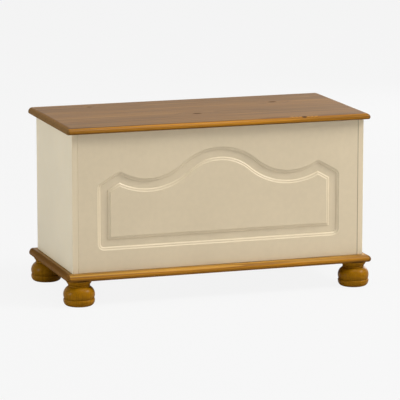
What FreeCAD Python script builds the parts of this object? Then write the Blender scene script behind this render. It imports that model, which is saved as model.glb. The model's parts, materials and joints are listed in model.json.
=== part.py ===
import FreeCAD, Part
import enum
import math
import os
import Sketcher

# Blanket box with a hinged pine lid, a painted carcass, a pine base and four turned feet.
# The origin is on the floor under the middle of the carcass: +X right, +Y back, +Z up.

# Driving sizes, in millimetres and degrees
SIZES = {
    # Painted carcass
    "body_width": 790,
    "body_depth": 338,
    "body_height": 360,
    "panel_thickness": 15,
    # Pine lid, with a rounded nose along its front and both ends
    "lid_thickness": 16,
    "lid_side_overhang": 16,
    "lid_front_overhang": 14,
    "lid_back_overhang": 28,
    "lid_under_nose": 5,
    "lid_nose_flat": 0.5,
    "lid_front_board": 53,
    "lid_back_board": 99,
    "lid_gap": 0.3,
    # Pine base, with a fuller nose all round
    "base_thickness": 18,
    "base_overhang": 20,
    "base_under_nose": 7.2,
    "base_nose_flat": 0.5,
    # Turned bun feet, built up from the floor as ring, bun, bead and cove
    "foot_sole_radius": 30,
    "foot_radius": 40.7,
    "foot_groove_depth": 2.7,
    "foot_neck_radius": 27,
    "foot_bead_depth": 2,
    "foot_top_radius": 34,
    "foot_ring_thickness": 18.3,
    "foot_bun_thickness": 31.7,
    "foot_bead_thickness": 6,
    "foot_cove_thickness": 9,
    "foot_side_inset": 20,
    "foot_end_inset": 13,
    # Foot studs and the threaded inserts they screw into
    "stud_radius": 4,
    "stud_in_foot": 30,
    "stud_in_base": 12,
    "insert_radius": 6,
    "insert_length": 13,
    # Routed groove on the front: the path of the cutter's middle and the cutter's own shape
    "groove_side_margin": 84.5,
    "groove_bottom_margin": 74,
    "groove_top_margin": 69.4,
    "groove_rise": 71.2,
    "groove_dip_radius": 155,
    "groove_dip_setback": 119,
    "groove_cusp_setback": 41.5,
    "groove_shoulder_drop": 74,
    "groove_width": 35,
    "groove_floor_width": 17.6,
    "groove_depth": 4.6,
    "groove_lip_width": 2.4,
    "groove_lip_depth": 1.8,
    "groove_step_width": 2.9,
    "groove_step_depth": 0.3,
    # Dowels and cam fittings in the carcass corners
    "dowel_radius": 4,
    "dowel_in_side": 10,
    "dowel_in_end": 20,
    "dowel_spread": 69,
    "cam_radius": 7.5,
    "cam_thickness": 12,
    "cam_setback": 24,
    "cam_spread": 119,
    "cam_cover": 4,
    "cam_bolt_thread_radius": 3,
    "cam_bolt_thread_length": 11,
    "cam_bolt_shank_radius": 3.4,
    "cam_bolt_head_radius": 2.6,
    "cam_bolt_head_past": 2,
    # Screws that hold the carcass down on the base
    "base_screw_radius": 2.25,
    "base_screw_head_radius": 4.5,
    "base_screw_head_height": 2.5,
    "base_screw_in_panel": 28,
    "base_screw_spread": 200,
    # Butt hinges behind the back panel
    "hinge_length": 60,
    "hinge_inset": 150,
    "knuckle_radius": 3.5,
    "hinge_pin_radius": 1.6,
    "leaf_thickness": 1.6,
    "leaf_drop": 24,
    "leaf_margin": 4.5,
    "hinge_clearance": 0.4,
    "hinge_screw_radius": 1.5,
    "hinge_screw_head_radius": 3,
    "hinge_screw_bite": 11,
    "hinge_screw_spread": 20,
    # Slotted lid stays
    "lid_opening_angle": 95,
    "stay_reach": 150,
    "stay_closed_angle": 36,
    "stay_pivot_drop": 14,
    "stay_arm_width": 14,
    "stay_arm_thickness": 2,
    "stay_rivet_radius": 2.5,
    "stay_rivet_head_radius": 4.5,
    "stay_rivet_head_height": 1.2,
    "stay_pin_radius": 3,
    "stay_pin_collar_radius": 5.5,
    "stay_pin_collar_height": 2.5,
    "stay_pin_thread_radius": 2,
    "stay_pin_thread_length": 10,
    "stay_bracket_width": 30,
    "stay_bracket_flange": 18,
    "stay_bracket_thickness": 2,
    "stay_bracket_toe": 8,
    "stay_screw_radius": 1.75,
    "stay_screw_head_radius": 3.2,
    "stay_screw_head_height": 1.8,
    "stay_screw_bite": 11,
    "stay_screw_spread": 9,
    "stay_clearance": 0.3,
    # Cross recess in the heads of screws and in the cams
    "drive_width": 0.9,
    "drive_depth": 1.2,
    "drive_margin": 1.3,
    # Fits between pieces that are fastened, turn or slide together
    "fit": 0.05,
    "bore_spare": 1,
}

BOARDS = 5          # boards in the lid and in the base
KNUCKLES = 5        # knuckles on each hinge, shared by its two leaves
RING_CROWN = 0.62   # where a foot's ring is widest, as a share of its thickness
BUN_CROWN = 0.22    # where its bun is widest, as a share of its thickness
DIAGONAL = math.sqrt(0.5)


class Point(enum.IntEnum):
    """Which point of a line, arc or circle a sketch rule holds."""

    START = 1
    END = 2
    CENTRE = 3


class SketchAxis(enum.IntEnum):
    """The two axes of a sketch; its origin is the start of the first."""

    ACROSS = -1
    UPRIGHT = -2


class Axis(enum.IntEnum):
    """The three axes of the box."""

    X = 0
    Y = 1
    Z = 2


document = FreeCAD.newDocument("blanket_box")
sheet = document.addObject("Spreadsheet::Sheet", "Sizes")
for row, (alias, amount) in enumerate(SIZES.items(), start=1):
    sheet.set("A%d" % row, alias)
    sheet.set("B%d" % row, str(amount))
    sheet.setAlias("B%d" % row, alias)
document.recompute()


class Length:
    """A size worked out from the sheet, kept with the formula that gives it."""

    def __init__(self, number, text):
        self.number = number
        self.text = text

    def __add__(self, other):
        return combined(self, "+", other, lambda a, b: a + b)

    def __radd__(self, other):
        return combined(other, "+", self, lambda a, b: a + b)

    def __sub__(self, other):
        return combined(self, "-", other, lambda a, b: a - b)

    def __rsub__(self, other):
        return combined(other, "-", self, lambda a, b: a - b)

    def __mul__(self, other):
        return combined(self, "*", other, lambda a, b: a * b)

    def __rmul__(self, other):
        return combined(other, "*", self, lambda a, b: a * b)

    def __truediv__(self, other):
        return combined(self, "/", other, lambda a, b: a / b)

    def __neg__(self):
        return 0 - self


def length(amount):
    """Give a plain number the same form as a size."""
    if isinstance(amount, Length):
        return amount
    return Length(float(amount), "(%r)" % float(amount))


def combined(first, sign, second, work):
    first, second = length(first), length(second)
    text = "(%s %s %s)" % (first.text, sign, second.text)
    return Length(work(first.number, second.number), text)


def square_root(amount):
    return Length(math.sqrt(amount.number), "sqrt(%s)" % amount.text)


def sine(degrees):
    return Length(math.sin(math.radians(degrees.number)), "sin(%s)" % degrees.text)


def cosine(degrees):
    return Length(math.cos(math.radians(degrees.number)), "cos(%s)" % degrees.text)


class Sizes:
    """The sheet's cells as sizes, by name."""


mm = Sizes()
for alias in SIZES:
    setattr(mm, alias, Length(float(sheet.get(alias)), "Sizes." + alias))


# Places that several pieces share
half_width = mm.body_width / 2
half_depth = mm.body_depth / 2
inner_half_width = half_width - mm.panel_thickness
inner_half_depth = half_depth - mm.panel_thickness
panel_middle_x = half_width - mm.panel_thickness / 2
panel_middle_y = half_depth - mm.panel_thickness / 2

foot_height = (mm.foot_ring_thickness + mm.foot_bun_thickness
               + mm.foot_bead_thickness + mm.foot_cove_thickness)
foot_x = half_width - mm.foot_side_inset
foot_y = half_depth - mm.foot_end_inset

base_top = foot_height + mm.base_thickness
base_board_width = (mm.body_depth + 2 * mm.base_overhang) / BOARDS
base_boards = [base_board_width] * BOARDS
body_top = base_top + mm.body_height
body_middle = base_top + mm.body_height / 2

lid_bottom = body_top + mm.lid_gap
lid_front = -half_depth - mm.lid_front_overhang
lid_back = half_depth + mm.lid_back_overhang
lid_inner_boards = BOARDS - 2
lid_inner_board = (lid_back - lid_front - mm.lid_front_board - mm.lid_back_board) / lid_inner_boards
lid_boards = [mm.lid_front_board] + [lid_inner_board] * lid_inner_boards + [mm.lid_back_board]

hinge_offset = mm.knuckle_radius + mm.hinge_clearance
hinge_axis_y = half_depth + hinge_offset
hinge_axis_z = lid_bottom - hinge_offset

# The stay's rivet and its pin lie equally far from the hinge axis, so the arm turns by half the lid's angle
stay_pivot_below = mm.stay_pivot_drop - hinge_offset
stay_pivot_ahead = square_root(mm.stay_reach * mm.stay_reach - stay_pivot_below * stay_pivot_below)
stay_pivot_y = hinge_axis_y - stay_pivot_ahead
stay_pivot_z = hinge_axis_z - stay_pivot_below
stay_turn_cosine = cosine(mm.stay_closed_angle)
stay_turn_sine = sine(mm.stay_closed_angle)
stay_pin_y = hinge_axis_y - stay_pivot_ahead * stay_turn_cosine + stay_pivot_below * stay_turn_sine
stay_pin_z = hinge_axis_z - stay_pivot_ahead * stay_turn_sine - stay_pivot_below * stay_turn_cosine
stay_slot_near = 2 * mm.stay_reach * sine(mm.stay_closed_angle / 2)
stay_slot_far = 2 * mm.stay_reach * sine((mm.stay_closed_angle + mm.lid_opening_angle) / 2)

# Layers of the stay, counted inwards from the side panel
stay_arm_start = mm.stay_pin_collar_height + mm.stay_clearance
stay_arm_end = stay_arm_start + mm.stay_arm_thickness
stay_tab_start = stay_arm_end + mm.stay_clearance
stay_tab_end = stay_tab_start + mm.stay_bracket_thickness

SIDES = (("left", -1), ("right", 1))
ENDS = (("front", -1), ("back", 1))

nodes = []


def node(piece):
    """List a finished piece for writing out."""
    nodes.append(piece)
    return piece


def bind(thing, **amounts):
    """Tie a feature's sizes to the sheet."""
    for name, amount in amounts.items():
        thing.setExpression(name, length(amount).text)


def place(thing, x, y, z, rotation=FreeCAD.Rotation()):
    """Give a piece its turn and tie its position to the sheet."""
    corner = FreeCAD.Vector(length(x).number, length(y).number, length(z).number)
    thing.Placement = FreeCAD.Placement(corner, rotation)
    thing.setExpression("Placement.Base.x", length(x).text)
    thing.setExpression("Placement.Base.y", length(y).text)
    thing.setExpression("Placement.Base.z", length(z).text)
    return thing


ALONG_X = FreeCAD.Rotation(FreeCAD.Vector(0, 1, 0), 90)
ALONG_MINUS_X = FreeCAD.Rotation(FreeCAD.Vector(0, 1, 0), -90)
ALONG_Y = FreeCAD.Rotation(FreeCAD.Vector(1, 0, 0), -90)
ALONG_MINUS_Y = FreeCAD.Rotation(FreeCAD.Vector(1, 0, 0), 90)
ALONG_Z = FreeCAD.Rotation()


def block(label, size, corner):
    """Make a box from its length, width and height and its lowest corner."""
    box = document.addObject("Part::Box", label)
    bind(box, Length=size[0], Width=size[1], Height=size[2])
    return place(box, *corner)


def rod(label, radius, reach, start, direction=ALONG_Z):
    """Make a cylinder from its start point along a direction."""
    cylinder = document.addObject("Part::Cylinder", label)
    bind(cylinder, Radius=radius, Height=reach)
    return place(cylinder, *start, direction)


def taper(label, first_radius, last_radius, reach, start, direction):
    """Make a cone frustum from its start point along a direction."""
    cone = document.addObject("Part::Cone", label)
    bind(cone, Radius1=first_radius, Radius2=last_radius, Height=reach)
    return place(cone, *start, direction)


def fused(label, pieces):
    union = document.addObject("Part::MultiFuse", label)
    union.Shapes = pieces
    return union


def group(label, pieces):
    """Keep identical pieces together as separate solids."""
    compound = document.addObject("Part::Compound", label)
    compound.Links = pieces
    return compound


def cut(label, stock, tools):
    result = document.addObject("Part::Cut", label)
    result.Base = stock
    result.Tool = tools[0] if len(tools) == 1 else fused(label + "_cutters", tools)
    return result


def cross_recess(label, face_middle, head_radius, sink_axis, sink_sign):
    """The two crossed slots of a head, sunk along one axis from the middle of its face."""
    slots = []
    for long_axis in [axis for axis in Axis if axis != sink_axis]:
        size = [mm.drive_width] * len(Axis)
        size[long_axis] = 2 * (head_radius - mm.drive_margin)
        size[sink_axis] = mm.drive_depth
        corner = [middle - side / 2 for middle, side in zip(face_middle, size)]
        corner[sink_axis] = face_middle[sink_axis]
        if sink_sign < 0:
            corner[sink_axis] = face_middle[sink_axis] - mm.drive_depth
        slots.append(block("%s_slot_%d" % (label, long_axis), size, corner))
    return slots


def sketch_in(body, plane, label):
    """Start a sketch on one of the body's own origin planes."""
    sketch = body.newObject("Sketcher::SketchObject", label)
    support = [feature for feature in body.Origin.OriginFeatures if feature.Role == plane]
    sketch.AttachmentSupport = [(support[0], "")]
    sketch.MapMode = "FlatFace"
    return sketch


def pin_down(sketch, geometry, end, point):
    """Tie a sketch point to its distances from the sketch's origin."""
    directions = (("DistanceX", SketchAxis.UPRIGHT), ("DistanceY", SketchAxis.ACROSS))
    for (kind, axis), amount in zip(directions, point):
        distance = length(amount)
        if distance.number == 0:
            sketch.addConstraint(Sketcher.Constraint("PointOnObject", geometry, end, axis))
        else:
            rule = Sketcher.Constraint(kind, SketchAxis.ACROSS, Point.START, geometry, end, distance.number)
            index = sketch.addConstraint(rule)
            sketch.setExpression("Constraints[%d]" % index, distance.text)


def spot(point):
    return FreeCAD.Vector(length(point[0]).number, length(point[1]).number, 0)


def outline(sketch, corners):
    """Draw a closed outline through its corners.

    A corner is a point, or a pair of points where an arc through the first leads to the second.
    """
    points = [corner[1] if isinstance(corner[0], tuple) else corner for corner in corners]
    ends = []
    for index, corner in enumerate(corners):
        before, after = points[index - 1], points[index]
        if isinstance(corner[0], tuple):
            geometry = sketch.addGeometry(Part.Arc(spot(before), spot(corner[0]), spot(after)))
            crown = sketch.addGeometry(Part.Point(spot(corner[0])), True)
            pin_down(sketch, crown, Point.START, corner[0])
            sketch.addConstraint(Sketcher.Constraint("PointOnObject", crown, Point.START, geometry))
        else:
            geometry = sketch.addGeometry(Part.LineSegment(spot(before), spot(after)))
        first_gap = sketch.getPoint(geometry, Point.START).distanceToPoint(spot(before))
        last_gap = sketch.getPoint(geometry, Point.END).distanceToPoint(spot(before))
        first, last = (Point.START, Point.END) if first_gap < last_gap else (Point.END, Point.START)
        ends.append((geometry, first, last))
    for index, (geometry, first, last) in enumerate(ends):
        following, following_first, _ = ends[(index + 1) % len(ends)]
        sketch.addConstraint(Sketcher.Constraint("Coincident", geometry, last, following, following_first))
        pin_down(sketch, geometry, last, points[index])


def hollow(sketch, middle, radius):
    """Draw a circle in a sketch."""
    circle = Part.Circle(spot(middle), FreeCAD.Vector(0, 0, 1), radius.number)
    geometry = sketch.addGeometry(circle)
    pin_down(sketch, geometry, Point.CENTRE, middle)
    index = sketch.addConstraint(Sketcher.Constraint("Radius", geometry, radius.number))
    sketch.setExpression("Constraints[%d]" % index, radius.text)


def new_body(label):
    return document.addObject("PartDesign::Body", label)


def padded(body, sketch, thickness, backwards=False):
    pad = body.newObject("PartDesign::Pad", sketch.Name + "_pad")
    pad.Profile = sketch
    pad.Reversed = backwards
    bind(pad, Length=thickness)
    return pad


def pocketed(body, sketch, depth, backwards=False):
    pocket = body.newObject("PartDesign::Pocket", sketch.Name + "_pocket")
    pocket.Profile = sketch
    pocket.Reversed = backwards
    bind(pocket, Length=depth)
    return pocket


# Lid and base boards

def nose_arcs(tip, inward, thickness, under_nose, top_nose):
    """The rounded edge of a board from its underside, round the tip, to its top face."""
    under_crown = (tip + inward * under_nose * (1 - DIAGONAL), under_nose * (1 - DIAGONAL))
    top_crown = (tip + inward * top_nose * (1 - DIAGONAL), thickness - top_nose * (1 - DIAGONAL))
    return [
        (tip + inward * under_nose, 0),
        (under_crown, (tip, under_nose)),
        (tip, thickness - top_nose),
        (top_crown, (tip + inward * top_nose, thickness)),
    ]


def turned_round(arcs):
    """The same rounded edge from the top face back to the underside."""
    low, (under_crown, under_end), flat_end, (top_crown, high) = arcs
    return [high, (top_crown, flat_end), under_end, (under_crown, low)]


def nosed_board(label, half_length, width, thickness, under_nose, nose_flat, nosed_edge):
    """One board of a glued-up panel, with its long side along X and its front edge at y = 0."""
    top_nose = thickness - under_nose - nose_flat
    body = new_body(label)
    section = sketch_in(body, "XZ_Plane", label + "_section")
    right_end = nose_arcs(half_length, -1, thickness, under_nose, top_nose)
    left_end = nose_arcs(-half_length, 1, thickness, under_nose, top_nose)
    outline(section, right_end + turned_round(left_end))
    padded(body, section, width, backwards=True)
    if nosed_edge:
        tip, inward = (length(0), 1) if nosed_edge == "front" else (width, -1)
        low, (under_crown, under_end), flat_end, (top_crown, high) = nose_arcs(
            tip, inward, thickness, under_nose, top_nose)
        for part, corners in (
            ("under", [(tip, 0), low, (under_crown, under_end)]),
            ("top", [(tip, thickness), flat_end, (top_crown, high)]),
        ):
            waste = sketch_in(body, "YZ_Plane", "%s_%s_waste" % (label, part))
            outline(waste, corners)
            pocket = pocketed(body, waste, 2 * half_length)
            pocket.Type = "ThroughAll"
            pocket.Midplane = True
    return body


def glued_panel(name, half_length, front, bottom, widths, nosed_edges,
                thickness, under_nose, nose_flat, holes):
    """A panel of boards glued edge to edge from front to back, then drilled."""
    board_front = front
    for index, width in enumerate(widths):
        label = "%s_board_%d" % (name, index + 1)
        blank = nosed_board(label + "_blank", half_length, width, thickness,
                            under_nose, nose_flat, nosed_edges.get(index))
        place(blank, 0, board_front, bottom)
        board_front = board_front + width
        drill_set = document.addObject("Part::Compound", label + "_holes")
        drill_set.Links = holes
        drilled = document.addObject("Part::Cut", label)
        drilled.Base = blank
        drilled.Tool = drill_set
        node(drilled)


# Feet and what fastens them

def turned_foot(label, x, y):
    """A foot turned on a lathe: ring, groove, bun, neck bead and cove, bored for its stud."""
    groove_radius = mm.foot_radius - mm.foot_groove_depth
    neck_height = mm.foot_ring_thickness + mm.foot_bun_thickness
    cove_start = neck_height + mm.foot_bead_thickness
    bore_radius = mm.stud_radius + mm.fit
    bore_floor = foot_height - mm.stud_in_foot - mm.bore_spare
    ring_crown = (mm.foot_radius, mm.foot_ring_thickness * RING_CROWN)
    bun_crown = (mm.foot_radius, mm.foot_ring_thickness + mm.foot_bun_thickness * BUN_CROWN)
    bead_crown = (mm.foot_neck_radius + mm.foot_bead_depth, neck_height + mm.foot_bead_thickness / 2)
    cove_crown = (mm.foot_top_radius - (mm.foot_top_radius - mm.foot_neck_radius) * DIAGONAL,
                  cove_start + mm.foot_cove_thickness * DIAGONAL)
    body = new_body(label)
    profile = sketch_in(body, "XZ_Plane", label + "_profile")
    outline(profile, [
        (0, 0),
        (mm.foot_sole_radius, 0),
        (ring_crown, (groove_radius, mm.foot_ring_thickness)),
        (bun_crown, (mm.foot_neck_radius, neck_height)),
        (bead_crown, (mm.foot_neck_radius, cove_start)),
        (cove_crown, (mm.foot_top_radius, foot_height)),
        (bore_radius, foot_height),
        (bore_radius, bore_floor),
        (0, bore_floor),
    ])
    turning = body.newObject("PartDesign::Revolution", label + "_turning")
    turning.Profile = profile
    turning.ReferenceAxis = (profile, ["V_Axis"])
    turning.Angle = 360
    return place(body, x, y, 0)


def feet():
    studs = []
    inserts = []
    for end, backward in ENDS:
        for side, outward in SIDES:
            label = "%s_%s_foot" % (end, side)
            x, y = outward * foot_x, backward * foot_y
            node(turned_foot(label, x, y))
            studs.append(rod(label + "_stud", mm.stud_radius, mm.stud_in_foot + mm.stud_in_base,
                             (x, y, foot_height - mm.stud_in_foot)))
            sleeve = rod(label + "_sleeve", mm.insert_radius, mm.insert_length, (x, y, foot_height))
            bore = rod(label + "_sleeve_bore", mm.stud_radius + mm.fit, mm.insert_length,
                       (x, y, foot_height))
            inserts.append(cut(label + "_insert", sleeve, [bore]))
    node(group("foot_studs", studs))
    node(group("foot_inserts", inserts))


def insert_holes():
    depth = mm.insert_length + mm.bore_spare
    return [rod("%s_%s_insert_hole" % (end, side), mm.insert_radius + mm.fit, depth,
                (outward * foot_x, backward * foot_y, foot_height))
            for end, backward in ENDS for side, outward in SIDES]


# Screws from the base up into the carcass

def base_screw_spots():
    """Where the base screws stand, with the name of the panel that each one holds."""
    spots = []
    for end, backward in ENDS:
        for step in (-1, 0, 1):
            spots.append((end, step * mm.base_screw_spread, backward * panel_middle_y))
    for side, outward in SIDES:
        for step in (-1, 1):
            spots.append((side, outward * panel_middle_x, step * base_board_width))
    return spots


def base_screws():
    screws = []
    shank_length = mm.base_thickness + mm.base_screw_in_panel - mm.base_screw_head_height
    for index, (_, x, y) in enumerate(base_screw_spots()):
        name = "base_screw_%d" % index
        head = rod(name + "_head", mm.base_screw_head_radius, mm.base_screw_head_height, (x, y, foot_height))
        shank = rod(name + "_shank", mm.base_screw_radius, shank_length,
                    (x, y, foot_height + mm.base_screw_head_height))
        recess = cross_recess(name, (x, y, foot_height), mm.base_screw_head_radius, Axis.Z, 1)
        screws.append(cut(name, fused(name + "_blank", [head, shank]), recess))
    node(group("base_screws", screws))


def base_screw_holes():
    holes = []
    for index, (_, x, y) in enumerate(base_screw_spots()):
        name = "base_hole_%d" % index
        seat = rod(name + "_seat", mm.base_screw_head_radius + mm.fit, mm.base_screw_head_height,
                   (x, y, foot_height))
        bore = rod(name + "_bore", mm.base_screw_radius + mm.fit, mm.base_thickness, (x, y, foot_height))
        holes.append(fused(name, [seat, bore]))
    return holes


def pilot_holes(wanted):
    """Holes in the bottom edge of one panel for the base screws."""
    depth = mm.base_screw_in_panel + mm.bore_spare
    return [rod("%s_pilot_%d" % (panel, index), mm.base_screw_radius + mm.fit, depth, (x, y, base_top))
            for index, (panel, x, y) in enumerate(base_screw_spots()) if panel == wanted]


# Dowels and cam fittings in the four corners of the carcass

def corner_rows(spread):
    """The two heights, one above and one below the middle, where a corner fitting sits."""
    return [("low", body_middle - spread), ("high", body_middle + spread)]


def corner_fittings():
    dowels = []
    bolts = []
    discs = []
    for end, backward in ENDS:
        for side, outward in SIDES:
            for row, z in corner_rows(mm.dowel_spread):
                start = outward * (inner_half_width - mm.dowel_in_end)
                direction = ALONG_X if outward > 0 else ALONG_MINUS_X
                dowels.append(rod("%s_%s_%s_dowel" % (end, side, row), mm.dowel_radius,
                                  mm.dowel_in_end + mm.dowel_in_side,
                                  (start, backward * panel_middle_y, z), direction))
            for row, z in corner_rows(mm.cam_spread):
                name = "%s_%s_%s_cam" % (end, side, row)
                bolts.append(cam_bolt(name + "_bolt", outward, backward, z))
                discs.append(cam_disc(name + "_disc", outward, backward, z))
    node(group("dowels", dowels))
    node(group("cam_bolts", bolts))
    node(group("cam_discs", discs))


def cam_bolt(label, outward, backward, z):
    """A bolt with its thread in the side panel and its head in the cam."""
    direction = ALONG_X if outward > 0 else ALONG_MINUS_X
    y = backward * panel_middle_y
    neck = mm.cam_setback - mm.cam_radius - mm.bore_spare / 2
    head_start = inner_half_width - mm.cam_setback - mm.cam_bolt_head_past
    thread = rod(label + "_thread", mm.cam_bolt_thread_radius, mm.cam_bolt_thread_length,
                 (outward * inner_half_width, y, z), direction)
    shank = rod(label + "_shank", mm.cam_bolt_shank_radius, neck,
                (outward * (inner_half_width - neck), y, z), direction)
    head = rod(label + "_head", mm.cam_bolt_head_radius, inner_half_width - neck - head_start,
               (outward * head_start, y, z), direction)
    return fused(label, [thread, shank, head])


def cam_disc(label, outward, backward, z):
    """A cam with a channel for the bolt's head below its closed face."""
    direction = ALONG_Y if backward > 0 else ALONG_MINUS_Y
    middle_x = outward * (inner_half_width - mm.cam_setback)
    disc = rod(label + "_blank", mm.cam_radius, mm.cam_thickness,
               (middle_x, backward * inner_half_depth, z), direction)
    channel_half = mm.cam_bolt_head_radius + mm.fit
    channel_reach = mm.cam_bolt_head_past + mm.bore_spare
    channel_length = mm.cam_radius + channel_reach + mm.bore_spare
    channel_depth = mm.cam_thickness - mm.cam_cover + mm.bore_spare
    channel_x = middle_x - channel_reach
    if outward < 0:
        channel_x = middle_x - channel_length + channel_reach
    channel_y = inner_half_depth + mm.cam_cover
    if backward < 0:
        channel_y = -channel_y - channel_depth
    channel = block(label + "_channel", (channel_length, channel_depth, 2 * channel_half),
                    (channel_x, channel_y, z - channel_half))
    recess = cross_recess(label, (middle_x, backward * inner_half_depth, z), mm.cam_radius,
                          Axis.Y, backward)
    return cut(label, disc, [channel] + recess)


def corner_holes_in_end(end, backward):
    """Cam bores, bolt bores and dowel holes of the front or back panel."""
    holes = []
    bore_direction = ALONG_Y if backward > 0 else ALONG_MINUS_Y
    for side, outward in SIDES:
        inwards = ALONG_MINUS_X if outward > 0 else ALONG_X
        edge = outward * inner_half_width
        for row, z in corner_rows(mm.dowel_spread):
            holes.append(rod("%s_end_%s_%s_dowel_hole" % (end, side, row), mm.dowel_radius + mm.fit,
                             mm.dowel_in_end + mm.bore_spare, (edge, backward * panel_middle_y, z), inwards))
        for row, z in corner_rows(mm.cam_spread):
            name = "%s_end_%s_%s_cam" % (end, side, row)
            holes.append(rod(name + "_bore", mm.cam_radius + mm.fit, mm.cam_thickness + mm.fit,
                             (outward * (inner_half_width - mm.cam_setback), backward * inner_half_depth, z),
                             bore_direction))
            holes.append(rod(name + "_bolt_bore", mm.cam_bolt_shank_radius + mm.fit, mm.cam_setback,
                             (edge, backward * panel_middle_y, z), inwards))
    return holes


def corner_holes_in_side(side, outward):
    """Dowel and cam bolt holes of a side panel."""
    holes = []
    direction = ALONG_X if outward > 0 else ALONG_MINUS_X
    for end, backward in ENDS:
        face_point = (outward * inner_half_width, backward * panel_middle_y)
        for row, z in corner_rows(mm.dowel_spread):
            holes.append(rod("%s_side_%s_%s_dowel_hole" % (side, end, row), mm.dowel_radius + mm.fit,
                             mm.dowel_in_side + mm.bore_spare, (*face_point, z), direction))
        for row, z in corner_rows(mm.cam_spread):
            holes.append(rod("%s_side_%s_%s_bolt_hole" % (side, end, row),
                             mm.cam_bolt_thread_radius + mm.fit,
                             mm.cam_bolt_thread_length + mm.bore_spare, (*face_point, z), direction))
    return holes


# Carcass panels

def side_panel(side, outward):
    label = side + "_side_panel"
    corner_x = -half_width if outward < 0 else inner_half_width
    stock = block(label + "_stock", (mm.panel_thickness, mm.body_depth, mm.body_height),
                  (corner_x, -half_depth, base_top))
    direction = ALONG_X if outward > 0 else ALONG_MINUS_X
    pin_hole = rod(label + "_pin_hole", mm.stay_pin_thread_radius + mm.fit,
                   mm.stay_pin_thread_length + mm.bore_spare,
                   (outward * inner_half_width, stay_pin_y, stay_pin_z), direction)
    node(cut(label, stock, corner_holes_in_side(side, outward) + pilot_holes(side) + [pin_hole]))


def back_panel():
    stock = block("back_panel_stock", (2 * inner_half_width, mm.panel_thickness, mm.body_height),
                  (-inner_half_width, inner_half_depth, base_top))
    node(cut("back_panel", stock,
             corner_holes_in_end("back", 1) + pilot_holes("back") + hinge_pilot_holes("body")))


def front_panel():
    stock = block("front_panel_stock", (2 * inner_half_width, mm.panel_thickness, mm.body_height),
                  (-inner_half_width, -half_depth, base_top))
    drilled = cut("front_panel_drilled", stock, corner_holes_in_end("front", -1) + pilot_holes("front"))
    routed = document.addObject("Part::Cut", "front_panel")
    routed.Base = drilled
    routed.Tool = routed_groove()
    node(routed)


def groove_path():
    """The line that the middle of the cutter follows, in the plane of the front face.

    The top edge is an arch between two dips. Each dip rises to a cusp, and a slope runs from there
    down to the shoulder. The arch meets the dips smoothly.
    """
    side = half_width.number - mm.groove_side_margin.number
    bottom = base_top.number + mm.groove_bottom_margin.number
    peak = body_top.number - mm.groove_top_margin.number
    rise = mm.groove_rise.number
    shoulder = peak - mm.groove_shoulder_drop.number
    dip_x = side - mm.groove_dip_setback.number
    dip_radius = mm.groove_dip_radius.number
    dip_middle_z = peak - rise + dip_radius
    arch_radius = dip_x ** 2 / (2 * rise) + rise / 2 - dip_radius
    arch_middle_z = peak - arch_radius
    share = arch_radius / (arch_radius + dip_radius)
    join_x = dip_x * share
    join_z = arch_middle_z + (dip_middle_z - arch_middle_z) * share
    cusp_x = side - mm.groove_cusp_setback.number
    cusp_z = dip_middle_z - math.sqrt(dip_radius ** 2 - (cusp_x - dip_x) ** 2)

    def on_face(x, z):
        return FreeCAD.Vector(x, 0, z)

    edges = [
        Part.LineSegment(on_face(-side, bottom), on_face(side, bottom)),
        Part.LineSegment(on_face(side, bottom), on_face(side, shoulder)),
        Part.LineSegment(on_face(side, shoulder), on_face(cusp_x, cusp_z)),
        Part.Arc(on_face(cusp_x, cusp_z), on_face(dip_x, peak - rise), on_face(join_x, join_z)),
        Part.Arc(on_face(join_x, join_z), on_face(0, peak), on_face(-join_x, join_z)),
        Part.Arc(on_face(-join_x, join_z), on_face(-dip_x, peak - rise), on_face(-cusp_x, cusp_z)),
        Part.LineSegment(on_face(-cusp_x, cusp_z), on_face(-side, shoulder)),
        Part.LineSegment(on_face(-side, shoulder), on_face(-side, bottom)),
    ]
    return Part.Wire([edge.toShape() for edge in edges])


def routed_groove():
    """The waste of the moulded groove: a lip, a small step and a slope down to a flat floor."""
    half_groove = mm.groove_width.number / 2
    half_floor = mm.groove_floor_width.number / 2
    lip_foot = half_groove - mm.groove_lip_width.number
    step_end = lip_foot - mm.groove_step_width.number
    lip_depth = mm.groove_lip_depth.number
    step_depth = lip_depth + mm.groove_step_depth.number
    profile = [
        (half_groove, 0),
        (lip_foot, lip_depth),
        (step_end, step_depth),
        (half_floor, mm.groove_depth.number),
    ]
    path = groove_path()
    face_y = -half_depth.number

    def moulding(direction):
        sections = []
        for reach, depth in profile:
            section = path.makeOffset2D(direction * reach)
            section.translate(FreeCAD.Vector(0, face_y + depth, 0))
            sections.append(section)
        return Part.makeLoft(sections, True, True)

    groove = document.addObject("Part::Feature", "front_panel_groove")
    groove.Shape = moulding(1).cut(moulding(-1))
    return groove


# Hinges

def hinge_middles():
    return [(side, outward * (half_width - mm.hinge_inset)) for side, outward in SIDES]


def leaf_screw_spots(middle_x):
    return [(index, middle_x + step * mm.hinge_screw_spread) for index, step in enumerate((-1, 0, 1))]


lid_leaf_start = hinge_axis_y + hinge_offset
lid_leaf_end = lid_back - mm.leaf_margin
lid_leaf_middle = (lid_leaf_start + lid_leaf_end) / 2
body_leaf_top = hinge_axis_z - hinge_offset
body_leaf_middle = body_leaf_top - mm.leaf_drop / 2
SCREW_WAYS = {"body": ALONG_MINUS_Y, "lid": ALONG_Z}
RECESS_WAYS = {"body": (Axis.Y, -1), "lid": (Axis.Z, 1)}


def leaf_screw_start(leaf, x):
    """The middle of a screw's head on the outer face of its leaf."""
    if leaf == "body":
        return (x, half_depth + mm.leaf_thickness, body_leaf_middle)
    return (x, lid_leaf_middle, lid_bottom - mm.leaf_thickness)


def wood_face_point(leaf, x):
    """The same screw's axis where it enters the wood."""
    if leaf == "body":
        return (x, half_depth, body_leaf_middle)
    return (x, lid_leaf_middle, lid_bottom)


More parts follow.
